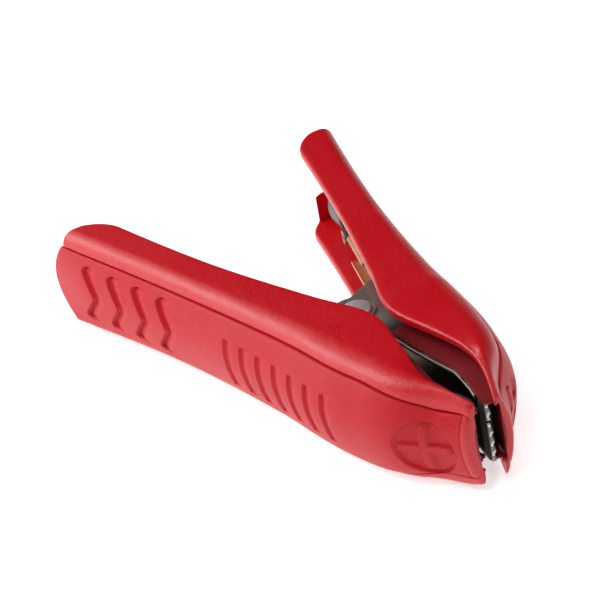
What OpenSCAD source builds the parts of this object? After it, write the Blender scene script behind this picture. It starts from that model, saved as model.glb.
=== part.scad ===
// Fully insulated battery clamp: two mirror-image halves on one pivot.
// The clamp lies on its side. X runs from the handles to the nose, Z is the
// pivot's direction, and the closing plane of the jaws is y = 0.
// The rear half is drawn on the +Y side, and the front half is its mirror image.

/* [Handles] */
// Length from the pivot to the end of a handle's side walls
handle_len = 91.5; // [80:0.5:112]
// How far the rounded end of a cover stands past its side walls
end_bulge = 5.5; // [2:0.5:8]
// Radius of the inner corner at a handle's end, seen along the pivot
end_corner_r = 9; // [5:0.5:12]
// Half the gap between the handles at their ends
handle_gap = 30.2; // [26:0.1:38]
// Half the gap between the handles half way along
mid_gap = 18.6; // [16:0.1:24]
// Distance from the closing plane to a handle's back at its end
handle_back = 45.4; // [41:0.1:56]
// Distance from the closing plane to a handle's back half way along
mid_back = 34; // [31:0.1:41]

/* [Jaws] */
// Length from the pivot to the nose
jaw_len = 64; // [54:0.5:78]
// Half the gap between the shells beside the pivot
pivot_gap = 9; // [8.5:0.1:11]
// Half the gap between the shells at the elbow, where they come closest
elbow_gap = 2.2; // [1.8:0.1:3]
// Half the width of the oval opening in the shells
oval_half = 7.4; // [6:0.1:9]
// Half the gap between the shells at the nose
nose_gap = 2.6; // [2:0.1:3]
// Distance from the closing plane to the back of a half at the pivot
pivot_back = 25; // [23:0.1:30]
// Distance from the closing plane to the back of the nose
nose_back = 5; // [4:0.1:6]

/* [Shell section] */
// Width of the clamp along the pivot at its widest
body_w = 32.4; // [30:0.1:39]
// Width at the waist of the handles
waist_w = 29.8; // [28:0.1:32]
// Width of the opening between the nose's inner rims
nose_w = 19.2; // [17:0.1:23]
// How far the nose's sides lean out past its inner rim
nose_flare = 1.8; // [1:0.1:2.4]
// Thickness of the side walls
side_wall = 2.6; // [2:0.1:3.2]
// Thickness of the side walls at the nose
nose_wall = 1.6; // [1.2:0.1:2]
// Thickness of the floor under a cover
floor_wall = 1.5; // [1.2:0.1:2]
// Thickness of a cover where it is let into its shell
cover_t = 1.3; // [1:0.1:2]
// How far a cover stands proud of the shell's rim
cover_proud = 0.3; // [0:0.1:0.6]
// Width of the groove round a cover
groove_w = 0.6; // [0.4:0.1:1]
// Height of the rounded edge between a side wall and the back
edge_h = 3.9; // [3:0.1:5]
// How far the rounded edge reaches over the side wall at a handle
edge_r = 4.2; // [3:0.1:5]
// How far the rounded edge reaches over the side wall at the jaw
jaw_edge_r = 6.5; // [4:0.1:8]
// How far the back is crowned at a handle
handle_crown = 1.6; // [0.5:0.1:2.4]
// How far the back is crowned at the jaw
jaw_crown = 3.8; // [2:0.1:4.5]

/* [Steel jaws] */
// Thickness of the steel
steel_t = 1.1; // [0.8:0.1:1.3]
// Half the outer width of the rear jaw
rear_half_w = 9.4; // [9.2:0.1:9.8]
// Radius of the ears round the pivot
ear_r = 8.5; // [7:0.1:9]
// Half the gap between the jaws' edges where they are widest apart
post_half = 2.9; // [2.4:0.1:4]
// Half the gap between the toothed plates when the jaws are shut
tooth_gap = 0.25; // [0.2:0.05:0.4]
// Clearance between pieces of the two halves that pass each other
ear_gap = 0.1; // [0.08:0.01:0.2]
// Length of the tail behind the ears
tail_len = 10; // [8:0.5:12]
// Half the width of the tail
tail_half_w = 5.2; // [4:0.1:5.4]

/* [Pivot] */
// Radius of the pivot rivet
rivet_r = 2.4; // [2:0.1:3]
// Radius of the rivet's heads
rivet_head_r = 4.3; // [3.8:0.1:5]
// Height of the rivet's heads
rivet_head_h = 1.6; // [1.2:0.1:1.8]
// Radial clearance of what turns on the rivet
run_gap = 0.05; // [0.02:0.01:0.1]
// Thickness of the washers
washer_t = 0.5; // [0.4:0.1:0.6]
// Radius of the washers
washer_r = 5; // [4.6:0.1:6]
// Outer radius of the spacer sleeve
sleeve_r = 4; // [3.6:0.1:4.4]
// Radius of the spring wire
wire_r = 0.9; // [0.7:0.05:1]
// Mean radius of the spring's coil
coil_r = 5.5; // [5.3:0.1:6]
// Whole turns in the spring's coil
coil_turns = 5; // [4:1:5]

/* [Cord connection] */
// Radius of the bore of the crimp barrel
barrel_r = 4; // [3:0.1:4.2]
// Wall of the crimp barrel
barrel_wall = 1; // [0.8:0.1:1.1]
// Length of the crimp barrel
barrel_len = 17; // [14:0.5:20]
// Radial room for the cord under the clip
cord_room = 0.15; // [0.15:0.05:0.4]
// Width of the cord clip along the cord
clip_w = 8; // [5:0.5:10]
// Height of the bosses the cord clip is screwed to
boss_h = 2.2; // [1.5:0.1:3]
// Distance from the pivot back to the cord clip
clip_x = 66; // [60:1:76]

/* [Fasteners] */
// Shank radius of the jaw screws
screw_r = 1.5; // [1.2:0.1:1.8]
// Head radius of the jaw screws
screw_head_r = 2.7; // [2.2:0.1:3.2]
// Depth of the jaw screws in the shell's floor
screw_depth = 2.2; // [1.6:0.1:2.3]
// Shank radius of the clip screws
clip_screw_r = 1.3; // [1:0.1:1.5]
// Distance of the clip screws from the middle of the handle
clip_screw_z = 7.8; // [7.6:0.1:8.4]
// Shank radius of the small rivets
small_r = 1; // [0.8:0.1:1.2]
// Head radius of the small rivets
small_head_r = 1.9; // [1.6:0.1:2.1]

/* [Hidden] */

red = [0.78, 0.06, 0.08];
cover_red = [0.85, 0.12, 0.12];
zinc = [0.62, 0.61, 0.56];
bright = [0.8, 0.8, 0.8];
copper = [0.78, 0.45, 0.28];

// Clearances: pieces laid on one another, sliding flat faces, and shanks in their holes
face_gap = 0.05;
floor_gap = 0.3;
hole_gap = 0.05;
end_gap = 0.3;

body_half = body_w / 2;
place_x = (handle_len + end_bulge - jaw_len) / 2;
bulge_len = 9;
end_wall_len = 2.2;
min_rise = 0.5;
fillet_r = 1.5;
nose_half_w = nose_w / 2 - 2;
groove_lift = 2.6;
nose_len = 10;
front_half_w = rear_half_w - steel_t - ear_gap;
plate_t = 1;
ear_x = -19;
taper_x = jaw_len * 0.75;
rivet_x = jaw_len * 0.8;
screw_x = [28, -12];
palm_len = 11;
cord_lift = 0.9;
neck_step = 0.3;
leg_x = -16;

// Hermite curve through [x, value] stations, with three-point slopes
function span(p, i) = p[i + 1][0] - p[i][0];
function secant(p, i) = (p[i + 1][1] - p[i][1]) / span(p, i);
function mid_slope(p, i) =
    (span(p, i) * secant(p, i - 1) + span(p, i - 1) * secant(p, i)) / (span(p, i) + span(p, i - 1));
function slope(p, i) =
    i == 0 ? 1.5 * secant(p, 0) - 0.5 * mid_slope(p, 1)
    : i == len(p) - 1 ? 1.5 * secant(p, i - 1) - 0.5 * mid_slope(p, i - 1)
    : mid_slope(p, i);
function piece(p, x, i = 0) = i >= len(p) - 2 || x <= p[i + 1][0] ? i : piece(p, x, i + 1);
function hermite(a, b, ma, mb, h, t) =
    (2 * t ^ 3 - 3 * t ^ 2 + 1) * a + (t ^ 3 - 2 * t ^ 2 + t) * h * ma
    + (3 * t ^ 2 - 2 * t ^ 3) * b + (t ^ 3 - t ^ 2) * h * mb;
function curve(p, x) = let (i = piece(p, x), h = span(p, i))
    hermite(p[i][1], p[i + 1][1], slope(p, i), slope(p, i + 1), h, (x - p[i][0]) / h);

// Stations of a half's outline and section, measured from the pivot
gap_stations = [[-handle_len + 8.5, handle_gap], [-handle_len * 0.415, mid_gap], [-7, pivot_gap],
                [jaw_len * 0.235, elbow_gap], [jaw_len * 0.5, (elbow_gap + oval_half) / 2],
                [jaw_len * 0.75, oval_half], [jaw_len, nose_gap]];
back_stations = [[-handle_len, handle_back], [-handle_len * 0.525, mid_back], [-3, pivot_back],
                 [jaw_len * 0.5, pivot_back - 5.2], [jaw_len * 0.735, oval_half + 7.8],
                 [jaw_len * 0.89, nose_back + 3.3], [jaw_len, nose_back]];
width_stations = [[-handle_len, body_half - 0.6], [-handle_len * 0.45, waist_w / 2], [2, body_half - 0.4],
                  [jaw_len * 0.375, body_half + 0.4], [jaw_len * 0.656, body_half - 0.8],
                  [jaw_len * 0.89, (body_half + nose_w / 2) / 2 - 0.9], [jaw_len, nose_w / 2]];
crown_stations = [[-handle_len, handle_crown], [-handle_len * 0.5, handle_crown + 1.2],
                  [jaw_len * 0.65, jaw_crown], [jaw_len, jaw_crown - 1.8]];
round_stations = [[-handle_len, edge_r], [-13, edge_r + 0.8], [jaw_len * 0.5, jaw_edge_r], [jaw_len, 3]];
wall_stations = [[-handle_len, side_wall], [jaw_len * 0.5, side_wall], [jaw_len, nose_wall]];

// The inner corner at a handle's end is an arc added to the gap curve
function corner_rise(x) = let (d = end_corner_r - (x + handle_len))
    d <= 0 ? 0 : end_corner_r - sqrt(max(0, end_corner_r ^ 2 - d ^ 2));
function gap(x) = curve(gap_stations, x) + min(corner_rise(x), end_corner_r - 0.6);
function back(x) = curve(back_stations, x);
function half_width(x) = min(body_half, curve(width_stations, x));
// Outer half width: the sides lean out towards the nose
function ramp(t) = let (u = min(1, max(0, t))) u * u * (3 - 2 * u);
function outer_half(x) = min(body_half, half_width(x) + nose_flare * ramp(2 * x / jaw_len - 1));
function depth(x) = back(x) - gap(x);
function crown(x) = curve(crown_stations, x);
function wall(x) = lookup(x, wall_stations);
function round_reach(x) = min(curve(round_stations, x), 0.8 * depth(x));
function rim_z(x) = half_width(x) - edge_h + groove_lift * ramp((x - jaw_len + nose_len) / nose_len);
function recess(x) = min(cover_t, 0.4 * depth(x));
function floor_y(x) = max(gap(x) + min_rise, back(x) - cover_t - floor_wall);
function crown_at(x, z) = crown(x) * (1 - (z / rim_z(x)) ^ 2);
// How far the rounded end of a handle is drawn out at height z
function bulge(x, z) = let (w = (bulge_len - x - handle_len) / bulge_len)
    w <= 0 ? 0 : end_bulge * w * w * max(0, 1 - (z / rim_z(x)) ^ 2);
function back_slope(x) = (back(x + 1) - back(x - 1)) / 2;
function back_angle(x) = atan(back_slope(x));
// Outer and inner face of the steel that lies along the floor
function web_out(x) = floor_y(x) - floor_gap;
function web_slope(x) = (floor_y(min(x + 1, jaw_len)) - floor_y(x - 1)) / (min(x + 1, jaw_len) - x + 1);
function steepness(x) = sqrt(1 + web_slope(x) ^ 2);
function web_in(x) = web_out(x) - steel_t * steepness(x);

corner_steps = [0.02, 0.3, 0.8, 1.5, 2.3, 3.4, 5, 7.3];
long_steps = 30;
x_list = concat([for (s = corner_steps) -handle_len + s],
                [for (i = [0 : long_steps])
                    -handle_len + 10 + i * (jaw_len + handle_len - 10) / long_steps]);

module in_place() translate([place_x, 0, body_half]) children();
module in_front() in_place() mirror([0, 1, 0]) children();
// Local frames: on the floor inside a shell, and on the inner face of the steel
module on_floor(x) translate([x, floor_y(x), 0]) rotate([0, 0, back_angle(x)]) children();
module on_web(x) translate([x, web_in(x), 0]) rotate([0, 0, atan(web_slope(x))]) children();
// A cylinder of radius r along local y, from y = a out to y = b
module along_y(r, a, b) translate([0, a, 0]) rotate([-90, 0, 0]) cylinder(r = r, h = b - a, $fn = 48);

// A closed solid through rings of points, each an outer path followed by an inner path
function strip_faces(rings, n) = [for (r = [0 : rings - 2]) for (k = [0 : n - 1])
    let (a = r * n + k, b = r * n + (k + 1) % n) each [[a, b + n, b], [a, a + n, b + n]]];
function cap_faces(base, n, turn) = [for (k = [0 : n / 2 - 2])
    let (a = base + k, b = a + 1, c = base + n - 2 - k, d = c + 1)
    each (turn ? [[a, b, c], [a, c, d]] : [[a, c, b], [a, d, c]])];
module loft(rings) {
    n = len(rings[0]);
    polyhedron(points = [for (r = rings) each r],
               faces = concat(strip_faces(len(rings), n), cap_faces(0, n, true),
                              cap_faces((len(rings) - 1) * n, n, false)),
               convexity = 8);
}
function reversed(v) = [for (i = [len(v) - 1 : -1 : 0]) v[i]];
function flipped(v) = [for (q = v) [q[0], q[1], -q[2]]];
// Both halves of a path, joined through its middle point
function across(half, mid) = concat(flipped(half), [mid], reversed(half));

// Section of a shell at x: upper half of the outer path, then of the inner path
edge_angles = [0, 30, 60, 90];
shares = [0.66, 0.33];
function shell_outer(x) = let (w = outer_half(x), r = round_reach(x), zr = rim_z(x), y = back(x))
    concat([[x, gap(x), half_width(x)]],
           [for (a = edge_angles) [x, y - r + r * sin(a), zr + (w - zr) * cos(a)]],
           [[x, y - recess(x), zr - 0.02]],
           [for (s = shares) [x - bulge(x, s * zr), y - recess(x) + crown_at(x, s * zr), s * zr]]);
// The first rings stand up as an end wall, with a notch in the middle for the cord
function shell_floor(x) = x + handle_len < end_wall_len ? gap(x) + min_rise : floor_y(x);
function shell_inner(x) =
    let (w = half_width(x) - wall(x), y = shell_floor(x), f = min(fillet_r, 0.45 * (y - gap(x))),
         notch = barrel_r + 0.4)
    concat([[x, gap(x), w]],
           [for (a = [0, 45, 90]) [x, y - f + f * sin(a), w - f + f * cos(a)]],
           [[x, y, 0.8 * w], [x, y, 0.65 * w]],
           [[x, y, min(notch + 0.8, 0.55 * w)], [x, floor_y(x), min(notch, 0.45 * w)]]);
function shell_ring(x) = concat(
    across(shell_outer(x), [x - bulge(x, 0), back(x) - recess(x) + crown(x), 0]),
    reversed(across(shell_inner(x), [x, floor_y(x), 0])));

// Section of a cover at x: its outside, then its underside
function cover_half(x) = rim_z(x) - groove_w;
function cover_zs(x) = concat([cover_half(x), 0.83 * rim_z(x)], [for (s = shares) s * rim_z(x)]);
function cover_ring(x, lift) =
    across([for (z = cover_zs(x)) [x - bulge(x, z), back(x) + lift + crown_at(x, z), z]],
           [x - bulge(x, 0), back(x) + lift + crown(x), 0]);
cover_list = [for (x = x_list) min(x, jaw_len - 0.2)];

module half_shell() loft([for (x = x_list) shell_ring(x)]);
module half_cover() loft([for (x = cover_list)
    concat(cover_ring(x, cover_proud), reversed(cover_ring(x, face_gap - recess(x))))]);
module screw_holes() for (x = screw_x) on_web(x)
    along_y(screw_r + hole_gap, steel_t, steel_t + floor_gap + screw_depth + end_gap);

// Shell of one half, with the holes its jaw is screwed to
module shell_with_holes() difference() {
    half_shell();
    screw_holes();
}

// Steel jaw: a channel of web and flanges with two ears round the pivot, and a tail
flange_inner = [[jaw_len * 0.83, 1.9], [jaw_len * 0.69, post_half], [jaw_len * 0.55, 1.6],
                [jaw_len * 0.42, 0.7], [20, 0.3], [10, 0.3], [0, 0], [-7.6, 1]];
function web_path(a, b, n) = [for (i = [0 : n]) let (x = a + (b - a) * i / n) [x, web_out(x)]];
function web_back(a, b, n) = [for (i = [n : -1 : 0]) let (x = a + (b - a) * i / n) [x, web_in(x)]];
module web(a, b, n, half_w) translate([0, 0, -half_w]) linear_extrude(2 * half_w)
    polygon(concat(web_path(a, b, n), web_back(a, b, n)));
module flange() linear_extrude(steel_t)
    polygon(concat(web_path(ear_x, taper_x + 0.2, 16), [[taper_x + 0.2, 2.6]],
                   [for (q = flange_inner) if (q[0] < taper_x) q]));
module nose_flange() linear_extrude(steel_t)
    polygon([for (q = concat(web_path(taper_x, jaw_len, 6),
                             [[jaw_len, 0.3], [jaw_len * 0.94, 0.4], flange_inner[0], [taper_x, 2.6]]))
             [q[0] - taper_x, q[1]]]);
module ear() linear_extrude(steel_t) circle(r = ear_r, $fn = 96);
module nose_web(half_w) intersection() {
    web(taper_x, jaw_len, 8, half_w);
    rotate([90, 0, 0]) linear_extrude(200, center = true)
        polygon([[taper_x, half_w], [taper_x, -half_w], [jaw_len, -nose_half_w], [jaw_len, nose_half_w]]);
}
module jaw_side(half_w) {
    translate([0, 0, half_w - steel_t]) ear();
    translate([0, 0, half_w - steel_t]) flange();
    translate([taper_x, 0, half_w]) rotate([0, atan((half_w - nose_half_w) / (jaw_len - taper_x)), 0])
        translate([0, 0, -steel_t]) nose_flange();
}
module jaw(half_w) difference() {
    union() {
        web(ear_x, taper_x + 0.1, 20, half_w);
        nose_web(half_w);
        web(ear_x - tail_len, ear_x + 0.1, 8, tail_half_w);
        jaw_side(half_w);
        mirror([0, 0, 1]) jaw_side(half_w);
    }
    cylinder(r = rivet_r + run_gap, h = 60, center = true, $fn = 64);
    for (x = screw_x) on_web(x) along_y(screw_r + hole_gap, -3, 3);
    plate_rivet_places() along_y(small_r + hole_gap, -3, 3);
    terminal_rivet_places() along_y(small_r + hole_gap, -3, 3);
}
module plate_rivet_places() for (z = [-3.4, 3.4]) translate([0, 0, z]) on_web(rivet_x) children();
module terminal_rivet_places() for (z = [-2.6, 2.6]) translate([0, 0, z])
    on_web(ear_x - 0.4 * tail_len) children();

// Toothed plate inside the nose of a jaw
plate_half_w = nose_half_w - steel_t - 0.3;
plate_steps = 8;
function plate_x_at(i) = taper_x + (jaw_len - taper_x) * i / plate_steps;
module tooth_plate() difference() {
    translate([0, 0, -plate_half_w]) linear_extrude(2 * plate_half_w)
        polygon(concat([for (i = [0 : plate_steps]) let (x = plate_x_at(i)) [x, web_in(x) - face_gap]],
                       [for (i = [plate_steps : -1 : 0]) let (x = plate_x_at(i))
                           [x, max(tooth_gap, web_in(x) - face_gap - plate_t * steepness(x))]]));
    for (z = [-2.1, 2.1]) translate([jaw_len - 2.5, -5, z - 0.45]) cube([5, 20, 0.9]);
    plate_rivet_places() along_y(small_r + hole_gap, -4, 3);
}

// Fasteners, each head on the inner side
module screw(r, head_r, head_h, foot, depth) difference() {
    union() {
        along_y(r, -foot, depth);
        along_y(head_r, -foot - head_h, -foot);
    }
    translate([-head_r, -foot - head_h - 1, -0.3]) cube([2 * head_r, 1.6, 0.6]);
}
module jaw_screws() for (x = screw_x) on_web(x)
    screw(screw_r, screw_head_r, 1.3, face_gap, steel_t + floor_gap + screw_depth);
module small_rivet(foot, head_h, depth) {
    along_y(small_r, -foot, depth);
    along_y(small_head_r, -foot - head_h, -foot);
}
module plate_rivets() plate_rivet_places() small_rivet(plate_t + 2 * face_gap + 0.05, 0.7, steel_t - 0.1);

// Torsion spring: two straight legs that run off the coil as tangents
tip_y = web_in(leg_x) - 1.5 * wire_r - 0.1;
tip_z = 6.1;
tip_angle = atan2(tip_y, leg_x);
start_angle = tip_angle - acos(coil_r / norm([leg_x, tip_y]));
wind = 360 * coil_turns + 2 * start_angle;
coil_steps = 24 * coil_turns + 6;
function coil_point(i) = let (a = start_angle - wind * i / coil_steps)
    [coil_r * cos(a), coil_r * sin(a), tip_z - 2 * tip_z * i / coil_steps];
spring_path = concat([[leg_x, tip_y, tip_z]], [for (i = [0 : coil_steps]) coil_point(i)],
                     [[leg_x, -tip_y, -tip_z]]);
function unit(v) = v / norm(v);
function heading(p, i) = unit(p[min(i + 1, len(p) - 1)] - p[max(i - 1, 0)]);
function wire_ring(p, i, r) = let (t = heading(p, i), a = unit(cross(t, [0, 0, 1])), b = cross(a, t))
    [for (k = [0 : 7]) p[i] + r * (cos(k * 45) * a + sin(k * 45) * b)];

module front_shell() color(red) in_front() shell_with_holes();
module rear_shell() color(red) in_place() difference() {
    union() {
        half_shell();
        for (z = [-clip_screw_z, clip_screw_z]) on_floor(-clip_x) translate([0, 0, z])
            along_y(2.4, -boss_h, 0.6);
    }
    screw_holes();
    for (z = [-clip_screw_z, clip_screw_z]) on_floor(-clip_x) translate([0, 0, z])
        along_y(clip_screw_r + hole_gap, -boss_h - 1, 1.2);
}
module front_cover() color(cover_red) in_front() half_cover();
module rear_cover() color(cover_red) in_place() half_cover();
module front_jaw() color(zinc) in_front() jaw(front_half_w);
module rear_jaw() color(zinc) in_place() jaw(rear_half_w);
module front_tooth_plate() color(bright) in_front() tooth_plate();
module rear_tooth_plate() color(bright) in_place() tooth_plate();
module front_jaw_screws() color(bright) in_front() jaw_screws();
module rear_jaw_screws() color(bright) in_place() jaw_screws();
module front_plate_rivets() color(bright) in_front() plate_rivets();
module rear_plate_rivets() color(bright) in_place() plate_rivets();

washer_z = rear_half_w + face_gap;
head_z = washer_z + washer_t + face_gap;
module rivet_head() rotate_extrude($fn = 96)
    polygon(concat([[0, head_z], [rivet_head_r, head_z]],
                   [for (a = [0 : 15 : 90]) [rivet_head_r * cos(a), head_z + 0.4 + (rivet_head_h - 0.4) * sin(a)]]));
module pivot_rivet() color(bright) in_place() {
    cylinder(r = rivet_r, h = 2 * head_z + 0.2, center = true, $fn = 96);
    rivet_head();
    mirror([0, 0, 1]) rivet_head();
}
module pivot_washers() color(bright) in_place() for (side = [0, 1]) mirror([0, 0, side])
    translate([0, 0, washer_z]) difference() {
        cylinder(r = washer_r, h = washer_t, $fn = 96);
        translate([0, 0, -1]) cylinder(r = rivet_r + run_gap, h = washer_t + 2, $fn = 96);
    }
sleeve_half = front_half_w - steel_t - ear_gap;
module spacer_sleeve() color(zinc) in_place() difference() {
    cylinder(r = sleeve_r, h = 2 * sleeve_half, center = true, $fn = 96);
    cylinder(r = rivet_r + run_gap, h = 2 * sleeve_half + 2, center = true, $fn = 96);
}
module torsion_spring() color(bright) in_place()
    loft([for (i = [0 : len(spring_path) - 1]) wire_ring(spring_path, i, wire_r)]);

// Copper terminal: a palm riveted to the jaw's tail, and an open barrel crimped on the cord.
// The barrel points at the clip, so that the cord runs straight to the handle's end.
barrel_x = ear_x - tail_len;
barrel_y = web_in(barrel_x) - face_gap - barrel_wall - neck_step - barrel_r;
clip_y = floor_y(-clip_x) - cord_lift - barrel_r;
cord_angle = atan((clip_y - barrel_y) / (-clip_x - barrel_x));
module along_cord() translate([barrel_x, barrel_y, 0]) rotate([0, 0, cord_angle]) children();
module cable_terminal() color(copper) in_place() difference() {
    union() {
        on_web(barrel_x) translate([-0.6, -face_gap - barrel_wall, -5]) cube([palm_len, barrel_wall, 10]);
        along_cord() translate([-barrel_len, 0, 0]) rotate([0, 90, 0])
            cylinder(r = barrel_r + barrel_wall, h = barrel_len, $fn = 96);
    }
    along_cord() translate([-barrel_len - 1, 0, 0]) rotate([0, 90, 0])
        cylinder(r = barrel_r, h = barrel_len + 20, $fn = 96);
    along_cord() translate([-barrel_len - 1, -20 - barrel_r * 0.6, -8]) cube([barrel_len + 10, 20, 16]);
    terminal_rivet_places() along_y(small_r + hole_gap, -4, 3);
}
module terminal_rivets() color(bright) in_place() terminal_rivet_places()
    small_rivet(barrel_wall + 2 * face_gap + 0.05, 0.7, steel_t - 0.1);

// Saddle over the cord, screwed to two bosses
saddle_r = barrel_r + cord_room;
saddle_t = 0.9;
foot_y = -boss_h - face_gap;
saddle_y = -cord_lift - barrel_r;
module saddle_half() {
    translate([-clip_w / 2, saddle_y, saddle_r]) cube([clip_w, foot_y - saddle_y, saddle_t]);
    translate([-clip_w / 2, foot_y - saddle_t, saddle_r])
        cube([clip_w, saddle_t, clip_screw_z + 2.4 - saddle_r]);
}
module cord_clip() color(zinc) in_place() on_floor(-clip_x) difference() {
    union() {
        difference() {
            translate([-clip_w / 2, saddle_y, 0]) rotate([0, 90, 0])
                cylinder(r = saddle_r + saddle_t, h = clip_w, $fn = 96);
            translate([-clip_w, saddle_y, -10]) cube([2 * clip_w, 20, 20]);
        }
        saddle_half();
        mirror([0, 0, 1]) saddle_half();
    }
    translate([-clip_w, saddle_y, 0]) rotate([0, 90, 0]) cylinder(r = saddle_r, h = 2 * clip_w, $fn = 96);
    for (z = [-clip_screw_z, clip_screw_z]) translate([0, 0, z]) along_y(clip_screw_r + hole_gap, -6, 0);
}
module clip_screws() color(bright) in_place() for (z = [-clip_screw_z, clip_screw_z])
    on_floor(-clip_x) translate([0, 0, z])
        screw(clip_screw_r, 2.1, 1.1, boss_h + saddle_t + 2 * face_gap, 0.9);

front_shell();
front_cover();
front_jaw();
front_tooth_plate();
front_jaw_screws();
front_plate_rivets();
pivot_rivet();
pivot_washers();
spacer_sleeve();
torsion_spring();
rear_shell();
rear_cover();
rear_jaw();
rear_tooth_plate();
rear_jaw_screws();
rear_plate_rivets();
cable_terminal();
terminal_rivets();
cord_clip();
clip_screws();
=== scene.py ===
import math

import bmesh
import bpy
import numpy as np
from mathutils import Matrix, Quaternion, Vector


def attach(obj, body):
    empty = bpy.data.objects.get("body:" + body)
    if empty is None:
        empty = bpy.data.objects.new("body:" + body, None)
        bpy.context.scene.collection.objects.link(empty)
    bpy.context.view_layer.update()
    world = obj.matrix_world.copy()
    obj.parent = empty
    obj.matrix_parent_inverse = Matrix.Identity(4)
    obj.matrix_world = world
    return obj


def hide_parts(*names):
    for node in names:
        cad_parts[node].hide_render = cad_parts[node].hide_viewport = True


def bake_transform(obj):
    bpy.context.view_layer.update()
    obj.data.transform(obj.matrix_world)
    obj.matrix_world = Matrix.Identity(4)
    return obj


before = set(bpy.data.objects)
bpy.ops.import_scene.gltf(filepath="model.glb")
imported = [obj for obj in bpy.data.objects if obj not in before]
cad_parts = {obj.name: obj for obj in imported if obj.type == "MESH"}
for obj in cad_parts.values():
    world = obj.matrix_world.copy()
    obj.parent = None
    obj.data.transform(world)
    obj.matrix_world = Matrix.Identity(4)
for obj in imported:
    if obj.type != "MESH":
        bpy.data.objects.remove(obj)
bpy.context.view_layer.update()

# ---------------------------------------------------------------------------
# Camera: a long lens a little above the clamp, looking along it at the nose.
# ---------------------------------------------------------------------------
eye = Vector((0.642308, -0.297364, 0.426616))
aim = Vector((-0.010962, -0.002691, 0.017400))
tilt = math.radians(-10.635)

lens = bpy.data.cameras.new("camera")
lens.lens = 176.61
lens.sensor_width = 36
lens.clip_start = 0.05
lens.clip_end = 10
camera = bpy.data.objects.new("camera", lens)
camera.location = eye
camera.rotation_mode = "QUATERNION"
camera.rotation_quaternion = (aim - eye).to_track_quat("-Z", "Y") @ Quaternion((0, 0, 1), tilt)
bpy.context.scene.collection.objects.link(camera)
bpy.context.scene.camera = camera
bpy.context.scene.view_settings.view_transform = "Standard"

# ---------------------------------------------------------------------------
# Studio: a pale floor that glows softly and six soft boxes in a dark room,
# the strongest of them in front of the front handle.
# ---------------------------------------------------------------------------


class Wire:
    """A value in a material. Arithmetic on it adds the Math nodes that work it out."""

    def __init__(self, finish, socket):
        self.finish = finish
        self.socket = socket

    def maths(self, operation, first, second):
        return self.finish.node("ShaderNodeMath", {"operation": operation}, {0: first, 1: second})

    def __add__(self, other):
        return self.maths("ADD", self, other)

    def __sub__(self, other):
        return self.maths("SUBTRACT", self, other)

    def __rsub__(self, other):
        return self.maths("SUBTRACT", other, self)

    def __mul__(self, other):
        return self.maths("MULTIPLY", self, other)

    __radd__ = __add__
    __rmul__ = __mul__


class Finish:
    """A material, with one method that adds any node to it."""

    def __init__(self, name):
        self.material = bpy.data.materials.new(name)
        self.material.use_nodes = True
        self.tree = self.material.node_tree
        self.tree.nodes.clear()
        self.position = self.node("ShaderNodeTexCoord", out="Object")

    def node(self, kind, settings=None, sockets=None, out=0):
        """Adds a node: its settings first, then its sockets' values or links."""
        made = self.tree.nodes.new(kind)
        for name, value in (settings or {}).items():
            setattr(made, name, value)
        for key, value in (sockets or {}).items():
            if isinstance(value, Wire):
                self.tree.links.new(value.socket, made.inputs[key])
            else:
                made.inputs[key].default_value = value
        return Wire(self, made.outputs[out] if made.outputs else None)

    def noise(self, grains_per_metre, detail=3.0, stretch=(1, 1, 1)):
        """Smooth noise from 0 to 1, its grain given per metre and drawn out by stretch."""
        at = self.node("ShaderNodeMapping", sockets={"Vector": self.position, "Scale": stretch})
        return self.node("ShaderNodeTexNoise", sockets={
            "Vector": at, "Scale": grains_per_metre, "Detail": detail, "Roughness": 0.55})

    def band(self, value, low, high):
        """0 below low and 1 above high, with an even slope between."""
        return self.node("ShaderNodeMapRange", {"clamp": True}, {
            "Value": value, "From Min": low, "From Max": high, "To Min": 0.0, "To Max": 1.0})

    def blend(self, share, first, second):
        """A colour between two colours, which are sockets 6 and 7 of a colour mix."""
        return self.node("ShaderNodeMix", {"data_type": "RGBA"},
                         {0: share, 6: first, 7: second}, out=2)

    def bump(self, height, depth, strength=1.0):
        """Normals of a height map whose full range is depth metres."""
        return self.node("ShaderNodeBump", sockets={
            "Height": height, "Distance": depth, "Strength": strength})

    def surface(self, **sockets):
        """Closes the material with one Principled shader."""
        named = {key.replace("_", " "): value for key, value in sockets.items()}
        shader = self.node("ShaderNodeBsdfPrincipled", sockets=named)
        self.node("ShaderNodeOutputMaterial", sockets={"Surface": shader})
        return self.material


def add_mesh(name, points, faces):
    """An object at the origin from points, in metres, and lists of corner numbers."""
    mesh = bpy.data.meshes.new(name)
    mesh.from_pydata(np.asarray(points).tolist(), [], faces)
    mesh.validate()
    made = bpy.data.objects.new(name, mesh)
    bpy.context.scene.collection.objects.link(made)
    return made


floor_finish = Finish("pale_floor")
floor_tone = floor_finish.blend(
    floor_finish.noise(14.0), (0.80, 0.80, 0.80, 1), (0.84, 0.84, 0.84, 1))
floor_material = floor_finish.surface(
    Base_Color=floor_tone, Roughness=0.9, Specular_IOR_Level=0.1,
    Emission_Color=(1, 1, 1, 1), Emission_Strength=0.62)
floor_half = 2.5
floor_corners = [(x * floor_half, y * floor_half, 0)
                 for x, y in ((-1, -1), (1, -1), (1, 1), (-1, 1))]
floor = add_mesh("floor", floor_corners, [(0, 1, 2, 3)])
floor.data.materials.append(floor_material)

room = bpy.data.worlds.new("room")
room.use_nodes = True
room.node_tree.nodes["Background"].inputs["Color"].default_value = (0.9, 0.95, 1.0, 1)
room.node_tree.nodes["Background"].inputs["Strength"].default_value = 0.02
bpy.context.scene.world = room


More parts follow.
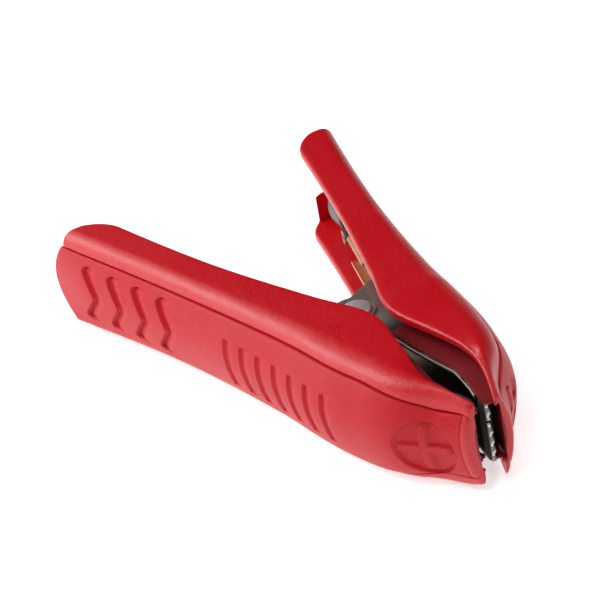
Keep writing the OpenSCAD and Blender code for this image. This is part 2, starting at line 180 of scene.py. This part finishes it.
def soft_box(name, azimuth, elevation, distance, width, height, watts):
    """A rectangular area light, its sizes in metres, that faces the clamp from
    azimuth and elevation in degrees."""
    a, e = math.radians(azimuth), math.radians(elevation)
    toward = Vector((math.cos(e) * math.cos(a), math.cos(e) * math.sin(a), math.sin(e)))
    light = bpy.data.lights.new(name, "AREA")
    light.shape = "RECTANGLE"
    light.size = width
    light.size_y = height
    light.energy = watts
    made = bpy.data.objects.new(name, light)
    made.location = toward * distance
    made.rotation_mode = "QUATERNION"
    made.rotation_quaternion = (-toward).to_track_quat("-Z", "Y")
    bpy.context.scene.collection.objects.link(made)


soft_box("front_box", -124, 39, 0.9, 0.7, 0.34, 6.0)
soft_box("low_box", -124, 12, 0.9, 0.7, 0.4, 1.8)
soft_box("left_box", -165, 35, 0.9, 0.6, 0.5, 1.5)
soft_box("nose_box", -65, 22, 1.0, 0.5, 0.5, 0.5)
soft_box("high_box", -30, 62, 1.0, 0.5, 0.5, 2.9)
soft_box("back_box", 70, 45, 1.0, 0.6, 0.5, 2.7)

# ---------------------------------------------------------------------------
# Shells: each half is one injection-moulded channel of red plastic, open
# towards the other half, with a sunk panel on its back for the cover.
# ---------------------------------------------------------------------------
# Lengths are in millimetres from the pivot here, x towards the nose and y away
# from the other half, and place() turns them into the frame's metres.
handle_len = 91.5
jaw_len = 64.0
pivot_x = 16.5
half_body = 16.2
corner_r = 9.0
edge_h = 3.9
groove_w = 0.6
groove_turn = 0.22
cover_end = 62.3
panel_depth = 1.3
back_wall = 2.8
side_wall = 2.6
nose_wall = 1.6
nose_flare = 1.8
nose_hang = 1.5
lip_r = 0.8
fillet_r = 1.5
end_wall = 2.2
end_notch = 4.4
end_reach = 5.5


def station_curve(stations):
    """A cubic Hermite curve through (x, value) stations. Its slope at an inner
    station is the parabola's slope through three neighbours."""
    p = np.array(stations, float)
    x, v = p[:, 0], p[:, 1]
    h = np.diff(x)
    d = np.diff(v) / h
    m = np.empty(len(x))
    m[1:-1] = (h[1:] * d[:-1] + h[:-1] * d[1:]) / (h[1:] + h[:-1])
    m[0] = 1.5 * d[0] - 0.5 * m[1]
    m[-1] = 1.5 * d[-1] - 0.5 * m[-2]

    def value(at):
        i = np.clip(np.searchsorted(x, at) - 1, 0, len(h) - 1)
        t = (at - x[i]) / h[i]
        return ((2 * t**3 - 3 * t**2 + 1) * v[i] + (t**3 - 2 * t**2 + t) * h[i] * m[i]
                + (3 * t**2 - 2 * t**3) * v[i + 1] + (t**3 - t**2) * h[i] * m[i + 1])

    return value


def ramp(t):
    """0 below 0, 1 above 1 and the smooth step 3t^2 - 2t^3 between."""
    u = np.clip(t, 0, 1)
    return u * u * (3 - 2 * u)


mouth_curve = station_curve([
    (-83, 30.2), (-37.97, 18.6), (-7, 9), (15.04, 2.2), (32, 4.8), (48, 7.4), (jaw_len, 2.6)])
back = station_curve([
    (-handle_len, 45.4), (-48.04, 34), (-3, 25), (32, 19.8), (47.04, 15.2), (56.96, 8.3),
    (jaw_len, 5)])
width_curve = station_curve([
    (-handle_len, 15.6), (-41.2, 14.9), (2, 15.8), (24, 16.6), (41.98, 15.4), (56.96, 12),
    (jaw_len, 9.6)])
crown = station_curve([(-handle_len, 1.6), (-45.75, 2.8), (41.6, 3.8), (jaw_len, 2)])
round_curve = station_curve([(-handle_len, 4.2), (-13, 5), (32, 6.5), (jaw_len, 3)])


def mouth(x):
    """Half the gap between the shells, with the handle's round inner corner added."""
    d = np.maximum(corner_r - (x + handle_len), 0)
    rise = corner_r - np.sqrt(np.maximum(corner_r**2 - d**2, 0))
    return mouth_curve(x) + np.minimum(rise, corner_r - 0.6)


def rim_half(x):
    """Half the width at the shell's lip."""
    return np.minimum(half_body, width_curve(x))


def outer_half(x, side=1):
    """Half the outer width. The lower side of the nose hangs a little deeper."""
    deeper = nose_hang * ramp((x - 50) / 12) if side < 0 else 0
    return np.minimum(half_body, rim_half(x) + nose_flare * ramp(2 * x / jaw_len - 1) + deeper)


def groove_z(x):
    """Height of the groove round the cover, which nears the edge at the nose."""
    return rim_half(x) - edge_h + 2.6 * ramp((x - 54) / 10)


def low_groove_z(x):
    """The groove on the lower side lies further round the edge."""
    return groove_z(x) + 2.5


def edge_drop(x, z):
    """How far the elliptical edge has fallen away at height z."""
    widest = np.where(z < 0, outer_half(x, -1), outer_half(x))
    t = (np.abs(z) - groove_z(x)) / (widest - groove_z(x))
    return round_reach(x) * (1 - np.sqrt(1 - np.clip(t, 0, 1) ** 2))


def round_reach(x):
    """How far down the sides the elliptical edge reaches."""
    return np.minimum(round_curve(x), 0.8 * (back(x) - mouth(x)))


def recess(x):
    """Depth of the panel that takes the cover."""
    return np.minimum(panel_depth, 0.4 * (back(x) - mouth(x)))


def inner_floor(x):
    """The channel's floor, a wall's thickness inside the back."""
    return np.maximum(mouth(x) + 0.5, back(x) - back_wall)


def wall(x):
    """Thickness of the side walls, which thin out over the nose."""
    return np.interp(x, [-handle_len, 32, jaw_len], [side_wall, side_wall, nose_wall])


def crowned(x, z):
    """Height of the crowned back over its rim: a parabola across the panel
    that reaches further round on the lower side."""
    reach = np.where(z < 0, low_groove_z(x), groove_z(x))
    return crown(x) * np.maximum(0, 1 - (z / reach) ** 2)


def drawn_out(x, z):
    """How far the round end of a handle is drawn out at height z."""
    w = np.maximum((corner_r - x - handle_len) / corner_r, 0)
    return end_reach * w**2 * np.maximum(0, 1 - (z / groove_z(x)) ** 2)


def place(x, y, z):
    """Pivot-centred millimetres to the frame's metres, for the rear half."""
    return np.stack([x + pivot_x, y, z + half_body], -1) / 1000


def spread(start, stop, count):
    """Fractions from start to stop as a column to be laid across stations."""
    return np.linspace(start, stop, count)[:, None]


def quads(rows, columns, closed):
    """Corner numbers of the faces of a grid of points, its rows closed or open."""
    across = columns if closed else columns - 1
    i, j = np.meshgrid(np.arange(rows - 1), np.arange(across), indexing="ij")
    a = i * columns + j
    b = i * columns + (j + 1) % columns
    return np.stack([a, b, b + columns, a + columns], -1).reshape(-1, 4)


def outer_path(x, side):
    """One side of a shell's outer section, from its lip to its middle: rolled
    lip, side wall, part of an ellipse, groove wall and sunk panel."""
    w, wo, zr, y = rim_half(x), outer_half(x, side), groove_z(x), back(x)
    low, r = mouth(x), round_reach(x)
    a = spread(0, math.pi / 2, 6)
    lip = np.minimum(lip_r, 0.3 * (y - low))
    lip_y, lip_z = low + lip * (1 - np.sin(a)), w - lip + lip * np.cos(a)
    t = spread(0, 1, 7)[1:]
    side_y = low + lip + t * (y - r - low - lip)
    side_z = w + (wo - w) * np.sin(t * math.pi / 2)
    zg = zr if side > 0 else low_groove_z(x)
    stop = np.arccos(np.clip((zg - zr) / (wo - zr), 0, 1))
    a = spread(0, 1, 15)[1:] * stop
    round_z = zr + (wo - zr) * np.cos(a)
    round_y = y - r + r * np.sin(a) + (0 if side > 0 else crowned(x, -round_z))
    a = spread(0, math.pi / 2, 4)[1:]
    turn_z = zg - groove_turn * np.sin(a)
    turn_y = round_y[-1] - groove_turn + groove_turn * np.cos(a)
    sunk = recess(x) * (x < cover_end)
    t = spread(1, 0, 10)
    floor_z = t * (zg - groove_turn)
    panel_y = y - sunk + crowned(x, side * floor_z) - edge_drop(x, floor_z)
    ys = np.concatenate([lip_y[::-1], side_y, round_y, turn_y, panel_y])
    zs = np.concatenate([lip_z[::-1], side_z, round_z, turn_z, floor_z])
    on_panel = np.arange(len(zs))[:, None] > len(lip_y) + len(side_y) + len(round_y)
    return x - drawn_out(x, zs) * on_panel, ys, side * zs


def inner_path(x, count, flared):
    """The same side of the inner section, from its lip to its middle: rolled
    lip, side wall, fillet and floor. The first rings stand up as an end wall,
    and the floor is thinner by flared at the nose."""
    w, low = rim_half(x) - wall(x), mouth(x)
    stand = x + handle_len < end_wall
    y = np.where(stand, low + 0.5, inner_floor(x) + flared * ramp((x - 52) / 12))
    lip = np.minimum(lip_r, 0.4 * (y - low))
    f = np.minimum(fillet_r, 0.45 * (y - low))
    a = spread(math.pi / 2, 0, 6)
    lip_y, lip_z = low + lip * (1 - np.sin(a)), w + lip - lip * np.cos(a)
    t = spread(0, 1, 8)[1:]
    side_y = low + lip + t * (y - f - low - lip)
    a = spread(0, math.pi / 2, 8)[1:]
    fillet_y, fillet_z = y - f + f * np.sin(a), w - f + f * np.cos(a)
    t = spread(1, 0, count - len(lip_y) - len(side_y) - len(fillet_y) + 1)[1:]
    floor_z = t * (w - f)
    notch = np.minimum(end_notch, 0.45 * w)
    floor_y = np.where(stand & (floor_z < notch), inner_floor(x), y + 0 * floor_z)
    ys = np.concatenate([lip_y, side_y, fillet_y, floor_y])
    zs = np.concatenate([lip_z, w + 0 * side_y, fillet_z, floor_z])
    return x + 0 * zs, ys, zs


shell_x = np.concatenate([
    -handle_len + np.array([0.0, 0.06, 0.2, 0.4, 0.65, 1.0, 1.5, end_wall - 0.01, end_wall + 0.01,
                            2.8, 3.6, 4.6, 5.8, 7.2, 8.6]),
    np.linspace(-81.5, 61.6, 130), [cover_end - 0.01, cover_end + 0.01],
    jaw_len - np.array([1.4, 1.0, 0.7, 0.42, 0.2, 0.08, 0.0])])


front_steel = 8.2
rear_steel = 9.4
steel_nose = 7.6


def steel_half(x, half):
    """Half the outer width of a steel jaw, which narrows towards the nose."""
    return np.interp(x, [48, jaw_len], [half, steel_nose])


def steel_edge(x):
    """Where the edge of a steel jaw's flanges lies."""
    edge_x, edge_y = np.array([(-7.6, 1), (0, 0), (10, 0.3), (20, 0.3), (26.9, 0.7), (35.2, 1.6),
                               (44.2, 2.9), (53.1, 1.9), (60.2, 0.4), (jaw_len, 0.3)]).T
    return np.interp(x, edge_x, edge_y)


def bar(corners):
    """A closed bar through four lines of corner points, capped at both ends."""
    ring = np.stack([np.stack(corner, -1) for corner in corners], 1)
    last = 4 * (len(ring) - 1)
    caps = np.array([[3, 2, 1, 0], [last, last + 1, last + 2, last + 3]])
    return ring.reshape(-1, 3), np.concatenate([quads(len(ring), 4, True), caps])


def bar_along(x, low_y, high_y, low_z, high_z):
    """A closed bar along x between two heights and two depths."""
    return bar([(x, low_y, low_z), (x, low_y, high_z), (x, high_y, high_z), (x, high_y, low_z)])


def joined(parts):
    """Parts given as points and faces, in one list of points and one of faces."""
    points, faces = np.zeros((0, 3)), np.zeros((0, 4), int)
    for more, sides in parts:
        faces = np.concatenate([faces, sides + len(points)])
        points = np.concatenate([points, more])
    return points, faces


def guards(half, end_x):
    """Plastic ledges that cover a steel jaw's flanges but for their edges."""
    x = np.linspace(16.5, end_x, 56)
    low, high = steel_edge(x) + 0.4, inner_floor(x) - 0.05
    z0 = steel_half(x, half) + 0.12
    z1 = np.minimum(z0 + 1.0, rim_half(x) - wall(x) - 0.02)
    return [bar_along(x, low, high, z0, z1), bar_along(x, low, high, -z1, -z0)]


def make_shell(name, side, steel, guard_end, flared):
    """The closed shell: outer and inner sections carried along x, drawn in at
    both ends so that the end edges are round, and shut by a strip of quads.
    The deep part of its inside, on the nose's side, and the ledges have a darker red material,
    which is painted shade."""
    end_round, end_inset, deep_from = 0.9, 0.32, 24
    upper, lower = (np.stack(outer_path(shell_x, way), -1) for way in (1, -1))
    inner = np.stack(inner_path(shell_x, len(upper), flared), -1)
    end = np.minimum(shell_x + handle_len, jaw_len - shell_x)
    close = np.clip(1 - end / end_round, 0, 1)
    inset = end_inset * (1 - np.sqrt(1 - close**2))[:, None]
    outer = np.concatenate([lower[:-1], upper[::-1]])
    inner = np.concatenate([inner[:-1] * np.array([1, 1, -1]), inner[::-1]])
    outer, inner = outer + (inner - outer) * inset, inner + (outer - inner) * inset
    ring = np.concatenate([outer, inner[::-1]]).transpose(1, 0, 2)
    rows, columns = ring.shape[:2]
    faces = quads(rows, columns, True)
    k = np.arange(columns // 2 - 1)
    cap = np.stack([k, columns - 1 - k, columns - 2 - k, k + 1], -1)
    last = (rows - 1) * columns
    faces = np.concatenate([faces, cap, last + cap[:, ::-1]])
    shell_points = ring.reshape(-1, 3)
    centre = shell_points[faces].mean(1)
    # Painted shade: the deep faces inside, on the nose's side, and all the ledges take the darker
    # red in slot 1.
    deep = (centre[:, 0] > deep_from) & (centre[:, 1] > mouth(centre[:, 0]) + 0.9)
    deep &= np.arange(len(faces)) % columns >= columns // 2
    deep[last:] = False
    ledges = [(points, sides[:, ::-1]) for points, sides in guards(steel, guard_end)]
    p, all_faces = joined([(shell_points, faces)] + ledges)
    deep = np.concatenate([deep, np.ones(len(all_faces) - len(faces), bool)])
    if side < 0:
        all_faces = all_faces[:, ::-1]
    made = add_mesh(name, place(p[:, 0], side * p[:, 1], p[:, 2]), all_faces.tolist())
    made.data.polygons.foreach_set("material_index", deep.astype(np.int32))
    made.data.shade_smooth()
    made.data.set_sharp_from_angle(angle=math.radians(55))
    return made


def moulded_red(name, base, rough, shine=0.5):
    """Red plastic with the fine spark-eroded grain of its mould, a little
    unevenness of colour, and gloss that varies where hands have polished it."""
    finish = Finish(name)
    cloud = finish.noise(60.0, 2.0)
    patch = finish.band(finish.noise(38.0, 4.0), 0.35, 0.7)
    grain = finish.noise(2600.0, 2.0)
    orange_peel = finish.noise(260.0, 1.0)
    dark = tuple(0.86 * c for c in base) + (1,)
    tone = finish.blend(cloud * 0.7, tuple(base) + (1,), dark)
    height = grain * 0.5 + orange_peel * 0.5
    return finish.surface(
        Base_Color=tone, Roughness=rough + patch * 0.07 - grain * 0.03, IOR=1.5,
        Specular_IOR_Level=shine, Normal=finish.bump(height, 0.00028, 1.0))


shell_red = moulded_red("shell_red", (0.56, 0.0012, 0.008), 0.33, 0.56)
# A darker copy of the shell's red for the deep inside and the ledges: painted shade.
shade_painted_red = moulded_red("shade_painted_red", (0.20, 0.001, 0.005), 0.5)
for half, side, steel, guard_end, flared in (
        ("front", -1, front_steel, 60.0, 0.0), ("rear", 1, rear_steel, 62.0, 0.9)):
    shell = make_shell(half + "_shell_moulding", side, steel, guard_end, flared)
    shell.data.materials.append(shell_red)
    shell.data.materials.append(shade_painted_red)
    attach(shell, half + "_half")
    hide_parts(half + "_shell")

# ---------------------------------------------------------------------------
# Covers: a softer red panel let into each shell's back, with four pressed
# chevrons, a row of grip slots and a plus sign in a sunk circle.
# ---------------------------------------------------------------------------
cover_proud = 0.3
edge_round = 0.5
edge_fall = 0.45
arrow_apexes = (-79.2, -68.6, -58.1, -47.5)
arrow_middle = -1.6
arrow_depth, arrow_wall, arrow_rise = 1.25, 0.4, 4.6
slot_places = np.arange(-21.0, 25.0, 7.2)
slot_middle, slot_half = -2.0, 7.6
slot_depth, slot_wall, slot_rise = 0.8, 0.6, 3.4
plus_x, plus_middle = 53.2, -2.6
disc_r, disc_edge, disc_depth = 8.5, 0.6, 1.3
plus_half, plus_reach, plus_edge = 1.35, 7.2, 0.4
fade = 0.7

cover_x = np.linspace(-handle_len, cover_end - 0.08, 640)
across = np.concatenate([
    [-1, -0.994, -0.985], np.linspace(-0.972, 0.972, 105), [0.985, 0.994, 1]])
dense_x = np.linspace(-handle_len, jaw_len, 2000)
run = np.concatenate([[0], np.cumsum(np.hypot(np.diff(dense_x), np.diff(back(dense_x))))])


def along(x):
    """Length of the way along the back, from the handle's end to x."""
    return np.interp(x, dense_x, run)


def pressed_step(past, deep, wall_w, rise):
    """A step down over wall_w, then an even slope back up over rise."""
    down = ramp(past / wall_w)
    up = np.clip(1 - (past - wall_w) / rise, 0, 1)
    return deep * down * up**1.2


def relief(x, z):
    """Depth of the pressed pattern under the cover's face."""
    s = along(x)
    deep = np.zeros_like(z)
    zc = z - arrow_middle
    slant = np.where(zc > 0, 0.46, 0.9)
    hook = 0.7 * np.maximum(zc - 7.9, 0) ** 2 + 0.9 * np.maximum(-6.1 - zc, 0) ** 2
    ends = ramp((10.2 - zc) / fade), ramp((zc + 8.2) / fade)
    for apex in arrow_apexes:
        past = s - along(apex) + slant * (np.sqrt(zc**2 + 0.3) - 0.55) - hook
        deep = deep + pressed_step(past, arrow_depth, arrow_wall, arrow_rise) * ends[0] * ends[1]
    for slot in slot_places:
        past = s - along(slot)
        deep = deep + (pressed_step(past, slot_depth, slot_wall, slot_rise)
                       * ramp((slot_half - np.abs(z - slot_middle)) / fade))
    u, v = s - along(plus_x), z - plus_middle
    out = np.hypot(u, v)
    disc = ramp((disc_r - out) / disc_edge)
    arms = np.maximum(ramp((plus_half - np.abs(u)) / plus_edge),
                      ramp((plus_half - np.abs(v)) / plus_edge))
    plus = arms * ramp((plus_reach - out) / disc_edge)
    return deep + disc_depth * disc * (1 - 0.85 * plus)


def make_cover(name, side):
    """The cover as two grids, a fine face with the relief and a plain
    underside, sewn together along the same edge."""
    x = cover_x[:, None] + 0 * across
    top_z, low_z = groove_z(x) - groove_w, groove_w - low_groove_z(x)
    z = low_z + (top_z - low_z) * (across + 1) / 2
    ends = np.minimum(x + handle_len, 4 * (cover_x[-1] - x))
    edge = np.minimum(np.minimum(top_z - z, z - low_z), ends)
    close = np.clip(1 - edge / edge_round, 0, 1)
    face = back(x) + crowned(x, z) - edge_drop(x, z)
    proud = cover_proud * ramp((62.5 - x) / 6)
    y = face + proud - relief(x, z) - edge_fall * (1 - np.sqrt(1 - close**2))
    low = face + 0.06 - recess(x)
    shift = x - drawn_out(x, z)
    rows, columns = z.shape
    pick = np.linspace(0, columns - 1, 13).round().astype(int)
    top = np.stack([shift, y, z], -1)
    under = np.stack([shift, low, z], -1)[:, pick][:, ::-1]
    ring = np.concatenate([top, under], 1)
    faces = quads(rows, columns + len(pick), True).tolist()
    last = (rows - 1) * ring.shape[1]
    cap = list(range(ring.shape[1]))
    faces += [cap[::-1], [last + k for k in cap]]
    if side < 0:
        faces = [f[::-1] for f in faces]
    p = ring.reshape(-1, 3)
    made = add_mesh(name, place(p[:, 0], side * p[:, 1], p[:, 2]), faces)
    made.data.shade_smooth()
    made.data.set_sharp_from_angle(angle=math.radians(60))
    return made


cover_red = moulded_red("cover_red", (0.50, 0.0014, 0.008), 0.42, 0.32)
for half, side in (("front", -1), ("rear", 1)):
    cover = make_cover(half + "_cover_panel", side)
    cover.data.materials.append(cover_red)
    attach(cover, half + "_half")
    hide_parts(half + "_cover")

# ---------------------------------------------------------------------------
# Steel jaws: each is pressed from one sheet, a channel with two ears round
# the pivot and a tail, screwed to its shell and grey from its zinc plating.
# ---------------------------------------------------------------------------
steel_t = 1.1
web_gap = 0.3


def rounded(made, width_mm, least_degrees, clamp=True):
    """Rounds the edges that turn by at least least_degrees."""
    bevel = made.modifiers.new("round", "BEVEL")
    bevel.width = width_mm / 1000
    bevel.segments = 2
    bevel.limit_method = "ANGLE"
    bevel.angle_limit = math.radians(least_degrees)
    bevel.use_clamp_overlap = clamp


def softened(node, name, width_mm, end_x=None, lower_to=None, clamp=True):
    """A copy of a CAD node with its points merged, flat faces joined and edges
    rounded by width_mm. It can be cut off at end_x and pressed flatter
    towards lower_to, which is in metres."""
    made = bpy.data.objects.new(name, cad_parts[node].data.copy())
    bpy.context.scene.collection.objects.link(made)
    made.data.materials.clear()
    shape = bmesh.new()
    shape.from_mesh(made.data)
    bmesh.ops.remove_doubles(shape, verts=shape.verts, dist=2e-6)
    if end_x is not None:
        whole = shape.verts[:] + shape.edges[:] + shape.faces[:]
        cut = bmesh.ops.bisect_plane(
            shape, geom=whole, plane_co=((end_x + pivot_x) / 1000, 0, 0),
            plane_no=(1, 0, 0), clear_outer=True)
        edges = [g for g in cut["geom_cut"] if isinstance(g, bmesh.types.BMEdge)]
        bmesh.ops.holes_fill(shape, edges=edges, sides=0)
    if lower_to is not None:
        for v in shape.verts:
            v.co.y = lower_to + 0.4 * (v.co.y - lower_to)
    bmesh.ops.dissolve_limit(
        shape, angle_limit=math.radians(0.6), verts=shape.verts, edges=shape.edges)
    shape.to_mesh(made.data)
    shape.free()
    rounded(made, width_mm, 28, clamp)
    made.data.shade_smooth()
    made.data.set_sharp_from_angle(angle=math.radians(35))
    return made


def plated(name, base, rough, tarnish, streak=(1, 1, 1), metal=0.9, shade_span=None):
    """Plated metal: drawn-out rolling marks, cloudy tarnish and fine specks.
    Painted shade darkens it and dulls its shine from one place along x to a second and past it."""
    finish = Finish(name)
    cloud = finish.band(finish.noise(120.0, 4.0), 0.35, 0.68)
    marks = finish.noise(1400.0, 2.0, streak)
    speck = finish.band(finish.noise(900.0, 2.0), 0.62, 0.72)
    tone = finish.blend(cloud * 0.75 + speck * 0.25, base + (1,), tarnish + (1,))
    shiny, gloss = metal, rough + cloud * 0.12 + marks * 0.08
    if shade_span is not None:
        along_x = finish.node("ShaderNodeSeparateXYZ", sockets={"Vector": finish.position}, out="X")
        painted_shade = finish.band(along_x + cloud * 0.0004, *shade_span)
        # Painted shade, very dark, rough and not metallic.
        tone = finish.blend(painted_shade * 0.985, tone, (0.012, 0.008, 0.007, 1))
        shiny, gloss = metal * (1 - painted_shade), gloss + painted_shade * 0.4
    return finish.surface(
        Base_Color=tone, Metallic=shiny, Roughness=gloss,
        Normal=finish.bump(marks, 0.00003, 0.6))


# Painted shade darkens the jaws from just ahead of the pivot to the nose.
jaw_zinc = plated("jaw_zinc", (0.42, 0.40, 0.35), 0.34, (0.26, 0.24, 0.19),
                  streak=(0.15, 1, 1), shade_span=(0.020, 0.031))
for half, cut_x in (("front", 60.8), ("rear", 56.5)):
    jaw = softened(half + "_jaw", half + "_jaw_pressing", 0.18, end_x=cut_x, clamp=False)
    jaw.data.materials.append(jaw_zinc)
    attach(jaw, half + "_half")
    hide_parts(half + "_jaw")

# ---------------------------------------------------------------------------
# Toothed plates: hard bright strips riveted inside the nose of each jaw,
# which bite on the battery post. Bright bars along the edges of the jaw's
# flanges, made with the strip, are a painted highlight.
# ---------------------------------------------------------------------------
# Painted shade darkens the strips but for the tip of the rear blade.
bright_steel = plated("bright_steel", (0.84, 0.82, 0.78), 0.24, (0.6, 0.58, 0.54),
                      streak=(1, 0.2, 1), metal=0.85, shade_span=(0.0794, 0.0788))
# A lighter copy of the steel for the flanges' edges: painted highlight.
flange_edge_highlight = plated("flange_edge_highlight", (0.86, 0.82, 0.76), 0.28, (0.66, 0.6, 0.52), metal=0.8)


def web_face(x):
    """Inner face of a jaw's web, a sheet's thickness under the shell's floor."""
    ahead = np.minimum(x + 1, jaw_len)
    slope = (inner_floor(ahead) - inner_floor(x - 1)) / (ahead - x + 1)
    return inner_floor(x) - web_gap - steel_t * np.hypot(1, slope)


def blade(end_x):
    """The strip's end, carried along z: its edge is a triangle wave of teeth
    with one deep notch."""
    z = np.linspace(-8.5, 8.7, 130)
    tooth = np.abs(2 * ((z / 2.9 + 0.2) % 1) - 1)
    edge = end_x - 0.7 * tooth - 2.2 * np.exp(-((z - 3.6) / 0.5) ** 2)
    low, high = 0.35 + 0.12 * tooth, 1.3 - 0.1 * tooth
    start = end_x - 6 + 0 * z
    points, faces = bar([
        (start, low + 0.9, z), (edge, low, z), (edge, high, z), (start, high + 0.9, z)])
    return points, faces[:, ::-1]


def tooth_strip(name, side, steel, end_x):
    """A strip along the web's inner face. Its own inner face is a row of
    ridges, a triangle wave along x, and a toothed blade ends it. Two thin
    bars along the edges of the jaw's flanges are a painted highlight."""
    x = np.linspace(49, end_x - 3, 90)
    high = web_face(x) - 0.05
    ridge = 0.45 * np.abs(2 * ((x / 1.5) % 1) - 1)
    strip = [bar_along(x, high - 1.05 + ridge, high, 0 * x - 6.2, 0 * x + 6.2), blade(end_x)]
    plain = sum(len(sides) for _, sides in strip)
    x = np.linspace(12, end_x - 7.2, 60)
    edge, near, far = steel_edge(x), steel_half(x, steel) - 0.4, steel_half(x, steel) + 0.05
    points, faces = joined(strip + [bar_along(x, edge - 0.1, edge + 0.3, near, far),
                                    bar_along(x, edge - 0.1, edge + 0.3, -far, -near)])
    if side > 0:
        faces = faces[:, ::-1]
    place_at = place(points[:, 0], side * points[:, 1], points[:, 2])
    made = add_mesh(name, place_at, faces.tolist())
    # The bars on the flanges' edges take the painted highlight in slot 1.
    highlight_bar_faces = np.arange(len(faces)) >= plain
    made.data.polygons.foreach_set("material_index", highlight_bar_faces.astype(np.int32))
    rounded(made, 0.12, 40)
    return made


for half, side, steel, end_x in (
        ("front", -1, front_steel, 58.6), ("rear", 1, rear_steel, 63.6)):
    plate = tooth_strip(half + "_tooth_strip", side, steel, end_x)
    plate.data.materials.append(bright_steel)
    plate.data.materials.append(flange_edge_highlight)
    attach(plate, half + "_half")
    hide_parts(half + "_tooth_plate")

# ---------------------------------------------------------------------------
# Fasteners: slotted screws hold the jaws in the shells and the clip on its
# bosses, and small rivets hold the plates and the terminal.
# ---------------------------------------------------------------------------
screw_steel = plated("screw_steel", (0.55, 0.54, 0.52), 0.3, (0.38, 0.36, 0.32), metal=1.0)
rivet_steel = plated("rivet_steel", (0.72, 0.72, 0.70), 0.34, (0.5, 0.5, 0.48), metal=0.72)
for node, body, metal, kind in (
        ("front_jaw_screws", "front_half", screw_steel, "screw_steel"),
        ("rear_jaw_screws", "rear_half", screw_steel, "screw_steel"),
        ("clip_screws", "rear_half", screw_steel, "screw_steel"),
        ("front_plate_rivets", "front_half", rivet_steel, "rivet_steel"),
        ("rear_plate_rivets", "rear_half", rivet_steel, "rivet_steel"),
        ("terminal_rivets", "rear_half", rivet_steel, "rivet_steel"),
        ("pivot_rivet", "front_half", rivet_steel, "rivet_steel"),
        ("pivot_washers", "front_half", rivet_steel, "rivet_steel"),
        ("spacer_sleeve", "front_half", screw_steel, "jaw_steel")):
    fastener = softened(node, node + "_turned", 0.12)
    fastener.data.materials.append(metal)
    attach(fastener, body)
    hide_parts(node)

# ---------------------------------------------------------------------------
# Torsion spring: five turns of steel wire round the sleeve, with a straight
# leg under each handle that pushes the handles apart.
# ---------------------------------------------------------------------------
wire_r = 0.9
coil_r = 5.5
coil_turns = 5
leg_x = -16.0
tip_z = 6.1
tip_y = float(web_face(leg_x)) - 1.5 * wire_r - 0.1
start = math.atan2(tip_y, leg_x) - math.acos(coil_r / math.hypot(leg_x, tip_y))
wound = 2 * math.pi * coil_turns + 2 * start
turn = np.linspace(0, 1, 241)
angle = start - wound * turn
coil = np.stack([coil_r * np.cos(angle), coil_r * np.sin(angle), tip_z - 2 * tip_z * turn], -1)
leg = np.linspace(0, 1, 12)[:-1, None]
first_tip = np.array([leg_x, tip_y, tip_z])
last_tip = np.array([leg_x, -tip_y, -tip_z])
path = np.concatenate([first_tip + (coil[0] - first_tip) * leg, coil,
                       last_tip + (coil[-1] - last_tip) * leg[::-1]])
heading = np.gradient(path, axis=0)
heading /= np.linalg.norm(heading, axis=1)[:, None]
aside = np.cross(heading, [0, 0, 1.0])
aside /= np.linalg.norm(aside, axis=1)[:, None]
above = np.cross(heading, aside)
around = np.linspace(0, 2 * math.pi, 17)[:-1]
tube = (path[:, None] + wire_r * (np.cos(around)[None, :, None] * aside[:, None]
                                  + np.sin(around)[None, :, None] * above[:, None]))
rows, columns = tube.shape[:2]
tube_faces = quads(rows, columns, True).tolist()
tube_faces += [list(range(columns))[::-1], [(rows - 1) * columns + k for k in range(columns)]]
tube = tube.reshape(-1, 3)
spring = add_mesh("torsion_spring_wire", place(tube[:, 0], tube[:, 1], tube[:, 2]), tube_faces)
spring.data.shade_smooth()
spring.data.set_sharp_from_angle(angle=math.radians(60))
spring.data.materials.append(
    plated("spring_steel", (0.5, 0.49, 0.47), 0.28, (0.33, 0.31, 0.28), metal=1.0))
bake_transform(spring)
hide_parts("torsion_spring")

# ---------------------------------------------------------------------------
# Cable terminal: rolled from copper sheet, its palm riveted to the rear
# jaw's tail and its barrel open for crimping on the cord.
# ---------------------------------------------------------------------------
copper = plated("rolled_copper", (0.74, 0.36, 0.17), 0.42, (0.24, 0.17, 0.09),
                streak=(0.3, 1, 1), metal=0.6)
terminal = softened("cable_terminal", "cable_terminal_rolled", 0.2)
terminal.data.materials.append(copper)
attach(terminal, "rear_half")
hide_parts("cable_terminal")

# ---------------------------------------------------------------------------
# Cord clip: a folded zinc-plated strip over the cord near the handle's end.
# ---------------------------------------------------------------------------
clip_floor = float(inner_floor(-66.0)) / 1000 - 0.0022
clip = softened("cord_clip", "cord_clip_strip", 0.15, lower_to=clip_floor)
clip.data.materials.append(plated("clip_steel", (0.16, 0.13, 0.11), 0.3, (0.05, 0.03, 0.03)))
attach(clip, "rear_half")
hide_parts("cord_clip")
